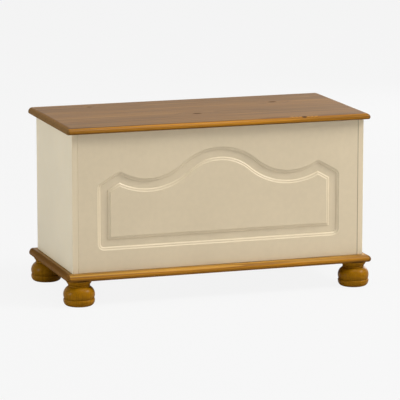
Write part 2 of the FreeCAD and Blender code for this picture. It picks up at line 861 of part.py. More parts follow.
def hinge_screws(leaf):
    screws = []
    for side, middle_x in hinge_middles():
        for index, x in leaf_screw_spots(middle_x):
            name = "%s_hinge_%s_screw_%d" % (side, leaf, index)
            head = taper(name + "_head", mm.hinge_screw_head_radius, mm.hinge_screw_radius,
                         mm.leaf_thickness, leaf_screw_start(leaf, x), SCREW_WAYS[leaf])
            shank = rod(name + "_shank", mm.hinge_screw_radius, mm.hinge_screw_bite,
                        wood_face_point(leaf, x), SCREW_WAYS[leaf])
            recess = cross_recess(name, leaf_screw_start(leaf, x), mm.hinge_screw_head_radius,
                                  *RECESS_WAYS[leaf])
            screws.append(cut(name, fused(name + "_blank", [head, shank]), recess))
    node(group("hinge_%s_screws" % leaf, screws))


def hinge_pilot_holes(leaf):
    return [rod("%s_hinge_%s_pilot_%d" % (side, leaf, index), mm.hinge_screw_radius + mm.fit,
                mm.hinge_screw_bite + mm.bore_spare, wood_face_point(leaf, x), SCREW_WAYS[leaf])
            for side, middle_x in hinge_middles() for index, x in leaf_screw_spots(middle_x)]


def hinge_leaf(side, leaf, middle_x):
    """A leaf: its plate, the knuckles it carries, the pin's bore and the countersunk holes."""
    label = "%s_hinge_%s_leaf" % (side, leaf)
    left = middle_x - mm.hinge_length / 2
    pitch = mm.hinge_length / KNUCKLES
    knuckle_length = pitch - mm.hinge_clearance
    if leaf == "body":
        plate = block(label + "_plate", (mm.hinge_length, mm.leaf_thickness, mm.leaf_drop),
                      (left, half_depth, body_leaf_top - mm.leaf_drop))
    else:
        plate = block(label + "_plate", (mm.hinge_length, lid_leaf_end - lid_leaf_start, mm.leaf_thickness),
                      (left, lid_leaf_start, lid_bottom - mm.leaf_thickness))
    pieces = [plate]
    for index in range(0 if leaf == "body" else 1, KNUCKLES, 2):
        x = left + index * pitch + mm.hinge_clearance / 2
        pieces.append(rod("%s_knuckle_%d" % (label, index), mm.knuckle_radius, knuckle_length,
                          (x, hinge_axis_y, hinge_axis_z), ALONG_X))
        if leaf == "body":
            size, corner = (knuckle_length, mm.leaf_thickness, hinge_offset), (x, half_depth, body_leaf_top)
        else:
            size = (knuckle_length, hinge_offset, mm.leaf_thickness)
            corner = (x, hinge_axis_y, lid_bottom - mm.leaf_thickness)
        pieces.append(block("%s_tab_%d" % (label, index), size, corner))
    bores = [rod(label + "_pin_bore", mm.hinge_pin_radius + mm.fit, mm.hinge_length,
                 (left, hinge_axis_y, hinge_axis_z), ALONG_X)]
    for index, x in leaf_screw_spots(middle_x):
        bores.append(taper("%s_countersink_%d" % (label, index), mm.hinge_screw_head_radius + mm.fit,
                           mm.hinge_screw_radius + mm.fit, mm.leaf_thickness,
                           leaf_screw_start(leaf, x), SCREW_WAYS[leaf]))
    node(cut(label, fused(label + "_blank", pieces), bores))


def hinges():
    for side, middle_x in hinge_middles():
        hinge_leaf(side, "body", middle_x)
        hinge_leaf(side, "lid", middle_x)
        node(rod(side + "_hinge_pin", mm.hinge_pin_radius, mm.hinge_length,
                 (middle_x - mm.hinge_length / 2, hinge_axis_y, hinge_axis_z), ALONG_X))
    hinge_screws("body")
    hinge_screws("lid")


# Lid stays

def stay_layer(outward, first, last):
    """The lowest x of a layer of the stay, given by its distances from the side panel."""
    return inner_half_width - last if outward > 0 else first - inner_half_width


def stay_arm(side, outward):
    """A flat bar with round ends: a hole at the rivet and a long slot for the pin."""
    label = side + "_stay_arm"
    half = mm.stay_arm_width / 2
    slot_half = mm.stay_pin_radius + mm.stay_clearance
    body = new_body(label)
    bar = sketch_in(body, "XY_Plane", label + "_bar")
    outline(bar, [
        (stay_slot_far, -half),
        ((stay_slot_far + half, 0), (stay_slot_far, half)),
        (0, half),
        ((-half, 0), (0, -half)),
    ])
    hollow(bar, (0, 0), mm.stay_rivet_radius + mm.fit)
    outline(bar, [
        (stay_slot_far, -slot_half),
        ((stay_slot_far + slot_half, 0), (stay_slot_far, slot_half)),
        (stay_slot_near, slot_half),
        ((stay_slot_near - slot_half, 0), (stay_slot_near, -slot_half)),
    ])
    padded(body, bar, mm.stay_arm_thickness)
    # The bar's length points from the rivet to the pin, and its thickness along +X
    fall = math.atan2((stay_pin_z - stay_pivot_z).number, (stay_pin_y - stay_pivot_y).number)
    upright = FreeCAD.Rotation(FreeCAD.Vector(1, 1, 1), 120)
    tilt = FreeCAD.Rotation(FreeCAD.Vector(1, 0, 0), math.degrees(fall))
    place(body, stay_layer(outward, stay_arm_start, stay_arm_end), stay_pivot_y, stay_pivot_z,
          tilt.multiply(upright))
    node(body)


def stay_bracket(side, outward):
    """An angle plate: its flange lies under the lid, its tab holds the rivet."""
    label = side + "_stay_bracket"
    front_y = stay_pivot_y - mm.stay_bracket_width / 2
    tab_height = mm.stay_pivot_drop + mm.stay_bracket_toe
    tab = block(label + "_tab", (mm.stay_bracket_thickness, mm.stay_bracket_width, tab_height),
                (stay_layer(outward, stay_tab_start, stay_tab_end), front_y, lid_bottom - tab_height))
    flange_end = stay_tab_start + mm.stay_bracket_flange
    flange = block(label + "_flange",
                   (mm.stay_bracket_flange, mm.stay_bracket_width, mm.stay_bracket_thickness),
                   (stay_layer(outward, stay_tab_start, flange_end), front_y,
                    lid_bottom - mm.stay_bracket_thickness))
    holes = [rod(label + "_rivet_hole", mm.stay_rivet_radius + mm.fit, mm.stay_bracket_thickness,
                 (stay_layer(outward, stay_tab_start, stay_tab_end), stay_pivot_y, stay_pivot_z), ALONG_X)]
    for index, (x, y) in enumerate(stay_screw_spots(outward)):
        holes.append(rod("%s_screw_hole_%d" % (label, index), mm.stay_screw_radius + mm.fit,
                         mm.stay_bracket_thickness, (x, y, lid_bottom - mm.stay_bracket_thickness)))
    node(cut(label, fused(label + "_angle", [tab, flange]), holes))


def stay_rivet(side, outward):
    """A headed rivet through the arm and the bracket's tab."""
    label = side + "_stay_rivet"
    axis = (stay_pivot_y, stay_pivot_z)
    head = mm.stay_rivet_head_height
    outer_head_end = stay_arm_start - mm.fit
    shank_start, shank_end = outer_head_end - head, stay_tab_end + mm.fit + head
    shank = rod(label + "_shank", mm.stay_rivet_radius, shank_end - shank_start,
                (stay_layer(outward, shank_start, shank_end), *axis), ALONG_X)
    outer = rod(label + "_outer_head", mm.stay_rivet_head_radius, head,
                (stay_layer(outward, shank_start, outer_head_end), *axis), ALONG_X)
    inner = rod(label + "_inner_head", mm.stay_rivet_head_radius, head,
                (stay_layer(outward, shank_end - head, shank_end), *axis), ALONG_X)
    node(fused(label, [shank, outer, inner]))


def stay_pin(side, outward):
    """A shouldered pin screwed into the side panel, with the arm's slot between collar and head."""
    label = side + "_stay_pin"
    axis = (stay_pin_y, stay_pin_z)
    collar = mm.stay_pin_collar_height
    head_start = stay_arm_end + mm.stay_clearance
    thread = mm.stay_pin_thread_length
    pieces = [
        rod(label + "_thread", mm.stay_pin_thread_radius, thread + head_start,
            (stay_layer(outward, -thread, head_start), *axis), ALONG_X),
        rod(label + "_shoulder", mm.stay_pin_radius, head_start,
            (stay_layer(outward, length(0), head_start), *axis), ALONG_X),
        rod(label + "_collar", mm.stay_pin_collar_radius, collar,
            (stay_layer(outward, length(0), collar), *axis), ALONG_X),
        rod(label + "_head", mm.stay_pin_collar_radius, mm.stay_rivet_head_height,
            (stay_layer(outward, head_start, head_start + mm.stay_rivet_head_height), *axis), ALONG_X),
    ]
    node(fused(label, pieces))


def stay_screw_spots(outward):
    """Where a bracket's two screws stand on its flange."""
    x = outward * (inner_half_width - (stay_tab_end + stay_tab_start + mm.stay_bracket_flange) / 2)
    return [(x, stay_pivot_y + step * mm.stay_screw_spread) for step in (-1, 1)]


def stay_screws():
    screws = []
    flange_bottom = lid_bottom - mm.stay_bracket_thickness
    for side, outward in SIDES:
        for index, (x, y) in enumerate(stay_screw_spots(outward)):
            name = "%s_stay_screw_%d" % (side, index)
            head = rod(name + "_head", mm.stay_screw_head_radius, mm.stay_screw_head_height,
                       (x, y, flange_bottom - mm.stay_screw_head_height))
            shank = rod(name + "_shank", mm.stay_screw_radius,
                        mm.stay_bracket_thickness + mm.stay_screw_bite, (x, y, flange_bottom))
            recess = cross_recess(name, (x, y, flange_bottom - mm.stay_screw_head_height),
                                  mm.stay_screw_head_radius, Axis.Z, 1)
            screws.append(cut(name, fused(name + "_blank", [head, shank]), recess))
    node(group("stay_screws", screws))


def stay_pilot_holes():
    return [rod("%s_stay_pilot_%d" % (side, index), mm.stay_screw_radius + mm.fit,
                mm.stay_screw_bite + mm.bore_spare, (x, y, lid_bottom))
            for side, outward in SIDES for index, (x, y) in enumerate(stay_screw_spots(outward))]


def stays():
    for side, outward in SIDES:
        stay_arm(side, outward)
        stay_bracket(side, outward)
        stay_rivet(side, outward)
        stay_pin(side, outward)
    stay_screws()


# The whole box

feet()
glued_panel("base", half_width + mm.base_overhang, -half_depth - mm.base_overhang, foot_height,
            base_boards, {0: "front", BOARDS - 1: "back"},
            mm.base_thickness, mm.base_under_nose, mm.base_nose_flat,
            insert_holes() + base_screw_holes())
base_screws()
for side_name, side_sign in SIDES:
    side_panel(side_name, side_sign)
front_panel()
back_panel()
corner_fittings()
glued_panel("lid", half_width + mm.lid_side_overhang, lid_front, lid_bottom,
            lid_boards, {0: "front"}, mm.lid_thickness, mm.lid_under_nose, mm.lid_nose_flat,
            hinge_pilot_holes("lid") + stay_pilot_holes())
hinges()
stays()
document.recompute()

for thing in document.Objects:
    if "Invalid" in thing.State or "Error" in thing.State:
        raise RuntimeError("%s could not be built" % thing.Label)
for piece in nodes:
    if piece.Shape.isNull() or not piece.Shape.isValid():
        raise RuntimeError("%s is not a sound solid" % piece.Label)

os.makedirs("parts", exist_ok=True)
for piece in nodes:
    piece.Shape.exportStep("parts/%s.step" % piece.Label)
print("%d pieces written" % len(nodes))
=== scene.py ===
import json
import math

import bmesh
import bpy
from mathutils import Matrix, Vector


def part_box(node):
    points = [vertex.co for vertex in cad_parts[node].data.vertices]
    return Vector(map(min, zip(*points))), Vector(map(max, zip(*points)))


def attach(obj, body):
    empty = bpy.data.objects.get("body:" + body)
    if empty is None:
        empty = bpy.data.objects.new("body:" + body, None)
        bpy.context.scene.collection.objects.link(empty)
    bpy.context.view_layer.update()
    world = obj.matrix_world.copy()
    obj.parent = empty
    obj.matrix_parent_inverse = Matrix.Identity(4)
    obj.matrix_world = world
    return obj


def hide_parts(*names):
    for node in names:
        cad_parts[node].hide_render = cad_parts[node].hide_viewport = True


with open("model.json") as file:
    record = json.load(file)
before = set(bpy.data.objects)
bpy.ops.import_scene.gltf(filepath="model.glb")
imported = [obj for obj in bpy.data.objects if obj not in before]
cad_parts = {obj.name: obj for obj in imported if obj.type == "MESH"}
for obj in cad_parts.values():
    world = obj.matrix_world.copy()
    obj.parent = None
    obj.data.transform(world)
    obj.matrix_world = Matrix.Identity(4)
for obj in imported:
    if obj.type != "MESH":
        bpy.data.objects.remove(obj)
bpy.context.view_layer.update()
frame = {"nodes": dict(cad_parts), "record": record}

# Painted blanket box with a stained pine lid and base and turned feet, in metres.
MM = 0.001
TINY = MM / 1000
X, Y, Z = range(3)
SHARP_ANGLE = math.radians(35)

# Edges of the pine panels: how far the roundings at the top and below reach in and how high they are,
# the radius of the corners in plan, and the softening of the back edge, which is cut square
LID_NOSE = {
    "top": (16 * MM, 10.5 * MM),
    "under": (5 * MM, 5 * MM),
    "corner": 8 * MM,
    "back": 1.5 * MM,
}
BASE_NOSE = {
    "top": (15 * MM, 10.3 * MM),
    "under": (7.2 * MM, 7.2 * MM),
    "corner": 9 * MM,
    "back": 1.5 * MM,
}
NOSE_STEPS = 14
CORNER_STEPS = 6

# Narrow flat band beside each rounding, which keeps the shading of the flat faces even
FLAT_RIM = 1 * MM

# Where each board lay in its log: metres along it, then millimetres sideways and up from its heart
LID_LOGS = ((0.3, 12, 46), (1.9, -9, -38), (3.1, 6, 52), (4.6, -14, -44), (6.2, 8, 40))
BASE_LOGS = ((7.7, 10, 34), (9.0, -8, -47), (10.4, 5, 41), (11.9, -12, -36), (13.3, 9, 50))
FOOT_LOGS = ((15.1, 22, 9), (16.2, -18, 14), (17.6, 12, -21), (18.8, -25, 6))

# Growth rings: width, how far they wander and ripple, and the shares of a ring where it darkens and ends
RING_WIDTH = 3.1 * MM
RING_WANDER = 14 * MM
RING_RIPPLE = 1.6 * MM
RING_DARKENS = (0.3, 0.88)
RING_ENDS = (0.93, 1.0)

# Knots in the lid: middle on the surface, radius
KNOTS = (
    (Vector((-20, -44, 459)) * MM, 7.5 * MM),
    (Vector((232, 82, 459)) * MM, 7 * MM),
    (Vector((228, -175, 458)) * MM, 4.8 * MM),
    (Vector((-255, 150, 459)) * MM, 5 * MM),
)

# A knot is longer along the board and through it. The edge of its core and how far it bends the rings
# are counted in its radii.
KNOT_SQUEEZE = (0.55, 1, 0.25)
KNOT_CORE = (0.5, 1.1)
KNOT_REACH = 5
KNOT_BEND = 9 * MM
KNOT_STRENGTH = 0.95

# Noises in the pine, in repeats per metre along and across the grain, and where most values of a noise lie
WANDER_SCALE = (1.6, 16, 16)
RIPPLE_SCALE = (9, 70, 70)
FIBRE_SCALE = (22, 1500, 1500)
STREAK_SCALE = (3, 190, 190)
TONE_SCALE = (1.1, 13, 13)
PORE_SCALE = (400, 900, 900)
NOISE_SPREAD = (0.3, 0.7)

# Joints between the boards, dark lines that open towards the ends, and the thin dark line before an end
JOINT_WIDTH = 0.4 * MM
JOINT_END_WIDTH = 1.6 * MM
JOINT_OPENING = 50 * MM
JOINT_STRENGTH = 0.7
ARRIS_STRENGTH = 0.5

# How far a face turns, as a part of its normal: where a look of the pine starts and is full (from),
# or where it starts to fade and is gone (to)
BOARD_END_FROM = (0.08, 0.3)
FOOT_END_FROM = (0.85, 0.98)
LID_TOP_FROM = (0.95, 0.9995)
BASE_TOP_FROM = (0.45, 0.9)
FOOT_TOP_FROM = (0.86, 0.99)
ARRIS_FROM = (0.02, 0.1)
ARRIS_TO = (0.14, 0.3)
# Painted shade on faces that turn downwards
PAINTED_UNDER_SHADE_TO = (-0.6, 0.05)
UNDER_DULL_TO = (-0.5, 0.1)

# How much rougher than the rounded edges the other parts of the pine are
END_DULL = 0.4
TOP_DULL = 0.18
UNDER_DULL = 0.4
KNOT_DULL = 0.4

# Softened edges of the painted panels
PAINT_EDGE = 1 * MM
PAINT_EDGE_STEPS = 5

# Painted shade with dust in the joints of the paint, and a painted contact shadow with dust along the base:
# how far from a joint it is full and where it ends, how far below the outer face it starts and where it is
# full, and how strong it is
SEAM_PAINTED_SHADE_AND_DUST = (0.3 * MM, 1.3 * MM)
SEAM_PAINTED_SHADE_AND_DUST_DEPTH = (3 * MM, 1 * MM)
SEAM_PAINTED_SHADE_AND_DUST_STRENGTH = 0.75
BASE_PAINTED_SHADOW_AND_DUST = (0.6 * MM, 2.2 * MM)
BASE_PAINTED_SHADOW_AND_DUST_STRENGTH = 0.7

# Routed groove on the front panel: the line of the cutter's middle, from the panel's middle and foot
GROOVE_SIDE = 310.5 * MM
GROOVE_BOTTOM = 74 * MM
GROOVE_PEAK = 290.6 * MM
GROOVE_RISE = 71.2 * MM
GROOVE_SHOULDER = 216.6 * MM
GROOVE_DIP_X = 191.5 * MM
GROOVE_DIP_RADIUS = 155 * MM
GROOVE_CUSP_X = 269 * MM
GROOVE_SAMPLE = 2 * MM
GROOVE_TRIM_STEPS = 40

# Half of the cutter's section, as distances from its middle: lip, step and ogee slope
GROOVE_HALF = 17.5 * MM
GROOVE_LIP_END = 15.1 * MM
GROOVE_STEP_END = 12.2 * MM
GROOVE_FLOOR_HALF = 8.8 * MM
GROOVE_LIP_DEPTH = 1.8 * MM
GROOVE_STEP_DEPTH = 0.3 * MM
GROOVE_SLOPE_DEPTH = 2.5 * MM
GROOVE_RINGS = 18

# Turned foot: radii, heights from the floor, and how much of its width the flare has reached halfway up
FOOT_SOLE = 30 * MM
FOOT_RADIUS = 40.6 * MM
FOOT_GROOVE = 38 * MM
FOOT_NECK = 27 * MM
FOOT_BEAD = 28.6 * MM
FOOT_TOP = 34 * MM
FOOT_RING_HEIGHT = 18.3 * MM
FOOT_RING_CROWN = 15 * MM
FOOT_BUN_CROWN = 27 * MM
FOOT_NECK_HEIGHT = 50 * MM
FOOT_BEAD_HEIGHT = 53.5 * MM
FOOT_FLARE = 0.6
FOOT_SEGMENTS = 128
FOOT_CURVE_STEPS = 16
FOOT_NAMES = ("front_left_foot", "front_right_foot", "back_left_foot", "back_right_foot")

# Round seats that the hardware sits in, and how far their cutters stand out
CAM_SEAT = {"radius": 7.55 * MM, "depth": 12.05 * MM}
SCREW_SEAT = {"radius": 4.55 * MM, "depth": 2.5 * MM}
SEAT_SIDES = 48
SEAT_OVERLAP = 1 * MM

# Camera, as fitted to the straight edges of the object
CAMERA_TARGET = Vector((12.57, 31.0, 215.2)) * MM
CAMERA_DISTANCE = 7.54
CAMERA_AZIMUTH = math.radians(18.48)
CAMERA_ELEVATION = math.radians(10.75)
CAMERA_LENS = 256.95
CAMERA_SENSOR = 36
CAMERA_CLIP_END = 100

# Light: a sky that grows brighter overhead, a floor that throws some of it back, and round soft lamps
# (name, place, size, watts, colour)
SKY_ZENITH = 0.5
FLOOR_HALF = 30
FLOOR_BOUNCE = (0.71, 0.71, 0.71, 1)
FLOOR_SHADOW = (0.65, 0.65, 0.65, 1)
FLOOR_SHADOW_SHARE = 0.055
LAMP_AIM = (0, 0, 0.25)
LAMPS = (
    ("key", (6.2, -2.6, 5.9), 3.0, 610, (1, 1, 1)),
    ("high", (0.5, -0.75, 2.9), 1.3, 30, (1, 1, 1)),
    ("front", (0.55, -3.1, 1.28), 0.6, 7, (1, 1, 1)),
    ("left", (-3.0, -0.25, 0.6), 0.8, 33, (0.88, 0.96, 1)),
    ("back", (2.4, 2.4, 1.0), 1.5, 30, (1, 1, 1)),
)

# Colours, linear
WHITE = (1, 1, 1, 1)
PALE = (0.934, 0.934, 0.934, 1)
CREAM_PAINT = (0.665, 0.553, 0.38, 1)
EARLY_WOOD = (0.39, 0.163, 0.006, 1)
LATE_WOOD = (0.25, 0.092, 0.003, 1)
FOOT_EARLY_WOOD = (0.288, 0.122, 0.001, 1)
FOOT_LATE_WOOD = (0.245, 0.1, 0.001, 1)
LID_END_WOOD = (0.185, 0.09, 0.02)
BASE_END_WOOD = (0.155, 0.062, 0.004)
KNOT_WOOD = (0.05, 0.018, 0.006, 1)
# Painted shade with dust, in the joints of the paint and along the base
JOINT_PAINTED_SHADE_AND_DUST = (0.16, 0.12, 0.07, 1)
ZINC = (0.60, 0.61, 0.62, 1)
ZINC_TARNISH = (0.42, 0.43, 0.43, 1)
BRASS = (0.62, 0.42, 0.15, 1)
BRASS_TARNISH = (0.40, 0.25, 0.09, 1)
BEECH = (0.52, 0.30, 0.14, 1)
BEECH_FLECK = (0.36, 0.19, 0.08, 1)

# Painted light on the flat tops, as factors on the colour of the wood: on the lid painted shade with part
# of a painted sheen, darker and greyer; on the base a painted sheen, lighter and greyer; none on the feet
LID_TOP_PAINTED_SHADE_AND_SHEEN = (0.53, 0.62, 3.6)
BASE_TOP_PAINTED_SHEEN = (1.03, 1.25, 5)
FOOT_TOP_PAINTED_LIGHT = (1, 1, 1)

# Specular level of the finishes, and roughness of the plated ones
BOARD_SHEEN = 0.15
FOOT_SHEEN = 0.06
PAINT_SHEEN = 0.35
PLAIN_SHEEN = 0.5
ZINC_ROUGHNESS = 0.38
BRASS_ROUGHNESS = 0.32


# Mesh helpers

def store(bm, mesh):
    """Keep a built mesh, smooth except along its sharp edges."""
    bmesh.ops.recalc_face_normals(bm, faces=bm.faces)
    bm.to_mesh(mesh)
    bm.free()
    mesh.polygons.foreach_set("use_smooth", [True] * len(mesh.polygons))
    mesh.set_sharp_from_angle(angle=SHARP_ANGLE)


def new_object(name, bm):
    mesh = bpy.data.meshes.new(name)
    store(bm, mesh)
    piece = bpy.data.objects.new(name, mesh)
    bpy.context.scene.collection.objects.link(piece)
    return piece


def dress(piece, material):
    """Give a piece one finish."""
    piece.data.materials.clear()
    piece.data.materials.append(material)


def stand_for(piece, node, body, material):
    """Let a piece take a node's place on its body, with its finish."""
    dress(piece, material)
    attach(piece, body)
    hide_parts(node)


def ring_of(bm, points):
    """A closed ring of corners, where points that coincide share one corner."""
    corners = []
    for point in points:
        place = Vector(point)
        if corners and (place - corners[-1].co).length < TINY:
            corners.append(corners[-1])
        elif corners and (place - corners[0].co).length < TINY:
            corners.append(corners[0])
        else:
            corners.append(bm.verts.new(place))
    return corners


def add_face(bm, corners):
    """A face through corners, with repeated corners left out."""
    own = list(dict.fromkeys(corners))
    return bm.faces.new(own) if len(own) > 2 else None


def bridge(bm, rings):
    """Join neighbouring rings of equally many corners."""
    for low, high in zip(rings, rings[1:]):
        for i in range(len(low)):
            add_face(bm, (low[i - 1], low[i], high[i], high[i - 1]))


def closed_solid(bm, rings):
    """Join rings and close both ends."""
    bridge(bm, rings)
    add_face(bm, rings[0])
    add_face(bm, rings[-1])
    return bm


def quarter_turn(steps):
    return [math.radians(90 * step / steps) for step in range(steps + 1)]


def loose_boxes(node):
    """Lowest and highest corner of each separate solid of a node."""
    bm = bmesh.new()
    bm.from_mesh(frame["nodes"][node].data)
    bmesh.ops.remove_doubles(bm, verts=bm.verts, dist=MM / 100)
    waiting = set(bm.verts)
    boxes = []
    while waiting:
        found = [waiting.pop()]
        solid = []
        while found:
            corner = found.pop()
            solid.append(corner.co.copy())
            near = {link.other_vert(corner) for link in corner.link_edges} & waiting
            waiting -= near
            found += near
        boxes.append((Vector(map(min, *solid)), Vector(map(max, *solid))))
    bm.free()
    return sorted(boxes, key=lambda pair: tuple(pair[0]))


def drilled(piece, seats, radius, depth):
    """Cut round seats into a piece. Each seat is the middle of its mouth and the way it goes in."""
    bm = bmesh.new()
    for mouth, inward in seats:
        turn = inward.to_track_quat("Z", "Y").to_matrix().to_4x4()
        turn.translation = mouth + inward * (depth / 2 - SEAT_OVERLAP / 2)
        bmesh.ops.create_cone(bm, cap_ends=True, segments=SEAT_SIDES, radius1=radius, radius2=radius,
                              depth=depth + SEAT_OVERLAP, matrix=turn)
    cutter = new_object(piece.name + "_seats", bm)
    cutting = piece.modifiers.new("seats", "BOOLEAN")
    cutting.object = cutter
    cutting.solver = "EXACT"
    ready = piece.evaluated_get(bpy.context.evaluated_depsgraph_get())
    whole, piece.data = piece.data, bpy.data.meshes.new_from_object(ready)
    piece.modifiers.clear()
    bpy.data.objects.remove(cutter)
    bpy.data.meshes.remove(whole)
    piece.data.set_sharp_from_angle(angle=SHARP_ANGLE)


# Pine boards

def rounded_rectangle(low, high, inset, back_inset, corner):
    """Points of a rectangle drawn in by an inset, and by another at its back, with its corners rounded."""
    radius = max(corner - inset, 0)
    left, right = low.x + inset + radius, high.x - inset - radius
    front, back = low.y + inset + radius, high.y - back_inset - radius
    points = []
    for x, y, start in ((right, back, 0), (left, back, 90), (left, front, 180), (right, front, 270)):
        for turn in quarter_turn(CORNER_STEPS):
            turn += math.radians(start)
            points.append((x + radius * math.cos(turn), y + radius * math.sin(turn)))
    return points


def nose_profile(low, high, nose):
    """Inset and height up the rounded edge of a panel, from its underside to its top."""
    (top_reach, top_rise), (under_reach, under_rise) = nose["top"], nose["under"]
    profile = [(under_reach + FLAT_RIM, low)]
    for turn in quarter_turn(NOSE_STEPS):
        profile.append((under_reach * (1 - math.sin(turn)), low + under_rise * (1 - math.cos(turn))))
    for turn in quarter_turn(NOSE_STEPS):
        profile.append((top_reach * (1 - math.cos(turn)), high - top_rise * (1 - math.sin(turn))))
    profile.append((top_reach + FLAT_RIM, high))
    return profile


def eased(from_face, radius):
    """How far a softened square edge is drawn in at a distance from its face."""
    into = min(max(radius - from_face, 0), radius)
    return radius - math.sqrt(radius ** 2 - into ** 2)


def panel_solid(low, high, nose):
    """A whole glued panel with rounded front and end edges and a square, softened back edge."""
    bm = bmesh.new()
    rings = []
    profile = nose_profile(low.z, high.z, nose)
    for inset, height in profile:
        back_inset = eased(min(height - low.z, high.z - height), nose["back"])
        if (inset, height) in (profile[0], profile[-1]):
            back_inset += FLAT_RIM
        outline = rounded_rectangle(low, high, inset, back_inset, nose["corner"])
        rings.append(ring_of(bm, [(x, y, height) for x, y in outline]))
    return closed_solid(bm, rings)


def cut_off(bm, joint, keep_back):
    """Keep the part of a panel behind or in front of a joint, and close it there."""
    everything = bm.verts[:] + bm.edges[:] + bm.faces[:]
    result = bmesh.ops.bisect_plane(bm, geom=everything, plane_co=(0, joint, 0), plane_no=(0, 1, 0),
                                    clear_inner=keep_back, clear_outer=not keep_back)
    rim = [part for part in result["geom_cut"] if isinstance(part, bmesh.types.BMEdge)]
    bmesh.ops.edgeloop_fill(bm, edges=rim)


def lay_grain(piece, place_in_log):
    """Store where each point lay in the log: X along the grain, Y and Z from its heart."""
    grain = piece.data.attributes.new("grain", "FLOAT_VECTOR", "POINT")
    for point, vertex in zip(grain.data, piece.data.vertices):
        point.vector = place_in_log(vertex.co)


def board_names(kind, logs):
    """The nodes of a panel's boards, from front to back."""
    return ["%s_board_%d" % (kind, index + 1) for index in range(len(logs))]


def pine_panel(names, body, nose, logs, material, seats=()):
    """A glued panel, cut at its joints into boards that each lay elsewhere in a log."""
    boxes = [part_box(name) for name in names]
    panel = panel_solid(boxes[0][0], boxes[-1][1], nose)
    for name, (low, high), (along, sideways, above) in zip(names, boxes, logs):
        board = panel.copy()
        if name != names[0]:
            cut_off(board, low.y, keep_back=True)
        if name != names[-1]:
            cut_off(board, high.y, keep_back=False)
        piece = new_object("pine_" + name, board)
        own_seats = [seat for seat in seats if low.y < seat[0].y < high.y]
        if own_seats:
            drilled(piece, own_seats, **SCREW_SEAT)
        shift = Vector((along, sideways * MM, above * MM)) - (low + high) / 2
        lay_grain(piece, lambda place: place + shift)
        stand_for(piece, name, body, material)
    panel.free()


def screw_seats():
    """Seats for the heads of the screws under the base."""
    seats = []
    for low, high in loose_boxes("base_screws"):
        middle = (low + high) / 2
        seats.append((Vector((middle.x, middle.y, low.z)), Vector((0, 0, 1))))
    return seats


# Feet

def circle_through(first, crown, last):
    """Middle and radius of the circle through three points."""
    (ax, ay), (bx, by), (cx, cy) = first, crown, last
    a, b, c = ax * ax + ay * ay, bx * bx + by * by, cx * cx + cy * cy
    twice_area = 2 * (ax * (by - cy) + bx * (cy - ay) + cx * (ay - by))
    x = (a * (by - cy) + b * (cy - ay) + c * (ay - by)) / twice_area
    y = (a * (cx - bx) + b * (ax - cx) + c * (bx - ax)) / twice_area
    return x, y, math.hypot(ax - x, ay - y)


def arc_points(first, crown, last):
    """Points after the first and up to the last, on the arc through the crown."""
    x, y, radius = circle_through(first, crown, last)
    start, middle, end = [math.atan2(py - y, px - x) for px, py in (first, crown, last)]
    sweep = (end - start) % math.tau
    if (middle - start) % math.tau > sweep:
        sweep -= math.tau
    turns = [start + sweep * (step + 1) / FOOT_CURVE_STEPS for step in range(FOOT_CURVE_STEPS)]
    return [(x + radius * math.cos(turn), y + radius * math.sin(turn)) for turn in turns]


def swell(low, crown, high):
    """Points after the low one, out to an upright crown and in again, on quarters of two ellipses."""
    turns = quarter_turn(FOOT_CURVE_STEPS)[1:]
    (low_radius, low_height), (crown_radius, crown_height), (high_radius, high_height) = low, crown, high
    outward = [(low_radius + (crown_radius - low_radius) * math.sin(turn),
                crown_height - (crown_height - low_height) * math.cos(turn)) for turn in turns]
    inward = [(high_radius + (crown_radius - high_radius) * math.cos(turn),
               crown_height + (high_height - crown_height) * math.sin(turn)) for turn in turns]
    return outward + inward


def foot_profile(height):
    """Radius and height up the side of a foot: ring, groove, bun, bead and flare."""
    flare_crown = (FOOT_NECK + (FOOT_TOP - FOOT_NECK) * FOOT_FLARE, (FOOT_BEAD_HEIGHT + height) / 2)
    stretches = (
        ((FOOT_RADIUS, FOOT_BUN_CROWN), (FOOT_NECK, FOOT_NECK_HEIGHT)),
        ((FOOT_BEAD, (FOOT_NECK_HEIGHT + FOOT_BEAD_HEIGHT) / 2), (FOOT_NECK, FOOT_BEAD_HEIGHT)),
        (flare_crown, (FOOT_TOP, height)),
    )
    profile = [(FOOT_SOLE, 0)]
    profile += swell(profile[0], (FOOT_RADIUS, FOOT_RING_CROWN), (FOOT_GROOVE, FOOT_RING_HEIGHT))
    for crown, end in stretches:
        profile += arc_points(profile[-1], crown, end)
    return profile


def circle(middle, radius, height):
    """Points of a level circle round an upright axis."""
    turns = [math.tau * side / FOOT_SEGMENTS for side in range(FOOT_SEGMENTS)]
    return [(middle.x + radius * math.cos(turn), middle.y + radius * math.sin(turn), height)
            for turn in turns]


def turned_foot(node, log, material):
    """A foot whose grain runs up its axis."""
    low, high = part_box(node)
    middle = (low + high) / 2
    bm = bmesh.new()
    rings = [ring_of(bm, circle(middle, radius, height)) for radius, height in foot_profile(high.z)]
    piece = new_object("turned_" + node, closed_solid(bm, rings))
    along, sideways, above = log
    lay_grain(piece, lambda place: Vector((along + place.z, place.x - middle.x + sideways * MM,
                                           place.y - middle.y + above * MM)))
    stand_for(piece, node, "carcass", material)


# Painted panels

def soft_edge_profile(near, far):
    """Inset and place across a board with softened edges, from its far face to its near face."""
    edge = [(PAINT_EDGE + FLAT_RIM, 0)]
    for turn in quarter_turn(PAINT_EDGE_STEPS):
        edge.append((PAINT_EDGE * (1 - math.sin(turn)), PAINT_EDGE * (1 - math.cos(turn))))
    edge.append((0, PAINT_EDGE + FLAT_RIM))
    far_edge = [(inset, far - depth) for inset, depth in edge]
    near_edge = [(inset, near + depth) for inset, depth in reversed(edge)]
    return far_edge + near_edge


